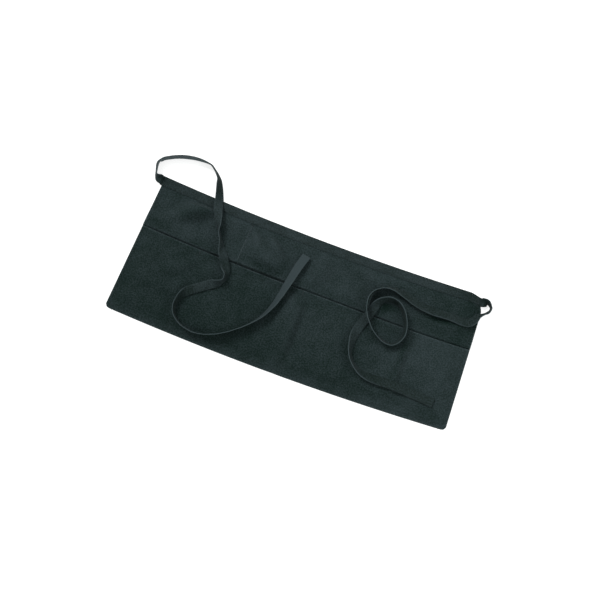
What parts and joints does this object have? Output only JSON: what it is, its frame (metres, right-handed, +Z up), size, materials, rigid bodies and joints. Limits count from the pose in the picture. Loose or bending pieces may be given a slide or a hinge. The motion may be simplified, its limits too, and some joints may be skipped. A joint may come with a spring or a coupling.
{
  "type": "waist apron",
  "caption": "Low wide cloth waist apron lying flat, with sewn pockets across its lower part, a folded tape waistband and two long flat ties laid over it; carries small service items.",
  "frame": {"origin": "middle of the apron's box without its ties, on the surface that it lies on", "axes": "+X along the apron's width, to the right as seen from its front; +Y across it towards the waistband; +Z up, out of its front"},
  "size_m": [0.6396, 0.3143, 0.0307],
  "materials": {
    "twill": "matte black twill with a slight green-blue cast",
    "tape": "matte black woven tape, a little lighter than the twill"
  },
  "bodies": {
    "root": {"apron_panel": "twill", "pocket_panel": "twill", "waistband": "tape", "tie_left": "tape", "tie_right": "tape"}
  },
  "joints": []
}
